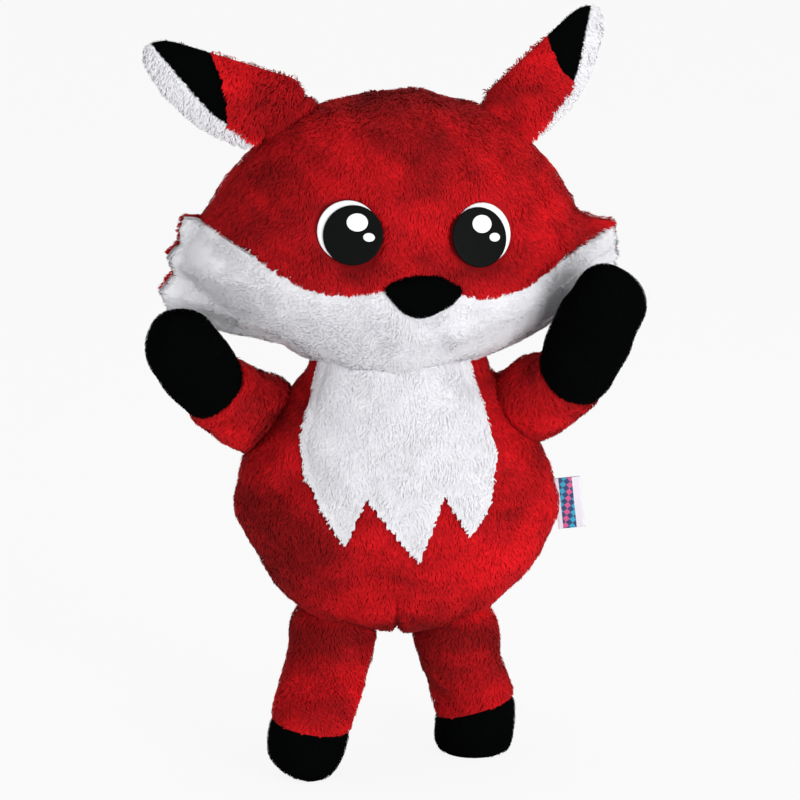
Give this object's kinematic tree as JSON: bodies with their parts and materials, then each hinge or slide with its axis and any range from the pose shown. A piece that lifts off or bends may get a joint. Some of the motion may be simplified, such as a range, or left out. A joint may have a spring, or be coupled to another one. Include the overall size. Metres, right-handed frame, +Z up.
{
  "type": "plush fox",
  "caption": "Stuffed plush fox, standing with raised arms: sewn covers over fibre fillings, padded head with face band and tufts, flat eyes, folding ears, sewn limbs and tail",
  "frame": {"origin": "on the floor under the middle of the whole toy's bounding box", "axes": "+Z up, the face and belly look along -Y, the tail is at +Y, and the toy's right arm is at -X"},
  "size_m": [0.3056, 0.226, 0.4733],
  "materials": {
    "red_plush": "deep red short-pile plush",
    "white_plush": "cool white short-pile plush",
    "black_short_plush": "near-black very short smooth plush",
    "fibre_filling": "loose white fibre filling",
    "eye_black_felt": "smooth black applique with a soft sheen",
    "eye_white_felt": "smooth white applique",
    "label_satin": "white woven satin ribbon"
  },
  "bodies": {
    "torso": {"torso_cover": "red_plush", "torso_filling": "fibre_filling", "bib": "white_plush"},
    "head": {"head_cover": "red_plush", "face_band": "white_plush", "cheek_backing_left": "red_plush", "cheek_backing_right": "red_plush", "head_filling": "fibre_filling", "nose": "black_short_plush", "eye_backing_left": "eye_white_felt", "eye_disc_left": "eye_black_felt", "eye_large_highlight_left": "eye_white_felt", "eye_small_highlight_left": "eye_white_felt", "eye_backing_right": "eye_white_felt", "eye_disc_right": "eye_black_felt", "eye_large_highlight_right": "eye_white_felt", "eye_small_highlight_right": "eye_white_felt"},
    "ear_left": {"ear_panel_left": "red_plush", "ear_tip_left": "black_short_plush", "ear_lining_left": "white_plush"},
    "ear_right": {"ear_panel_right": "red_plush", "ear_tip_right": "black_short_plush", "ear_lining_right": "white_plush"},
    "arm_left": {"sleeve_left": "red_plush", "mitt_left": "black_short_plush", "arm_filling_left": "fibre_filling"},
    "arm_right": {"sleeve_right": "red_plush", "mitt_right": "black_short_plush", "arm_filling_right": "fibre_filling"},
    "leg_left": {"leg_cover_left": "red_plush", "foot_left": "black_short_plush", "leg_filling_left": "fibre_filling"},
    "leg_right": {"leg_cover_right": "red_plush", "foot_right": "black_short_plush", "leg_filling_right": "fibre_filling"},
    "tail": {"tail_cover": "red_plush", "tail_tip": "white_plush", "tail_filling": "fibre_filling"},
    "label": {"side_label": "label_satin"}
  },
  "joints": [
    {"name": "neck_nod", "type": "hinge", "parent": "torso", "child": "head", "pos_m": [-0.0023, -0.029, 0.284], "axis": [1, 0, 0], "range_deg": [-8, 7]},
    {"name": "ear_left_fold", "type": "hinge", "parent": "head", "child": "ear_left", "pos_m": [-0.06359, -0.03582, 0.4099], "axis": [-0.7891, -0.1534, -0.5948], "range_deg": [-22, 22]},
    {"name": "ear_right_fold", "type": "hinge", "parent": "head", "child": "ear_right", "pos_m": [0.06872, -0.0101, 0.40166], "axis": [0.7121, 0.1384, -0.6884], "range_deg": [-22, 22]},
    {"name": "shoulder_left", "type": "hinge", "parent": "torso", "child": "arm_left", "pos_m": [-0.08029, -0.041, 0.22004], "axis": [0, 1, 0], "range_deg": [-45, 2]},
    {"name": "shoulder_right", "type": "hinge", "parent": "torso", "child": "arm_right", "pos_m": [0.08122, -0.041, 0.22807], "axis": [0, 1, 0], "range_deg": [-3, 45]},
    {"name": "hip_left", "type": "hinge", "parent": "torso", "child": "leg_left", "pos_m": [-0.03771, -0.029, 0.082], "axis": [1, 0, 0], "range_deg": [-6, 36]},
    {"name": "hip_right", "type": "hinge", "parent": "torso", "child": "leg_right", "pos_m": [0.03869, -0.029, 0.082], "axis": [1, 0, 0], "range_deg": [-36, 6]},
    {"name": "tail_wag", "type": "hinge", "parent": "torso", "child": "tail", "pos_m": [0.0037, 0.035, 0.12804], "axis": [0, 0, 1], "range_deg": [-25, 25]},
    {"name": "label_flap", "type": "hinge", "parent": "torso", "child": "label", "pos_m": [0.10104, -0.029, 0.16395], "axis": [-0.1045, 0, 0.9945], "range_deg": [-30, 30]}
  ]
}
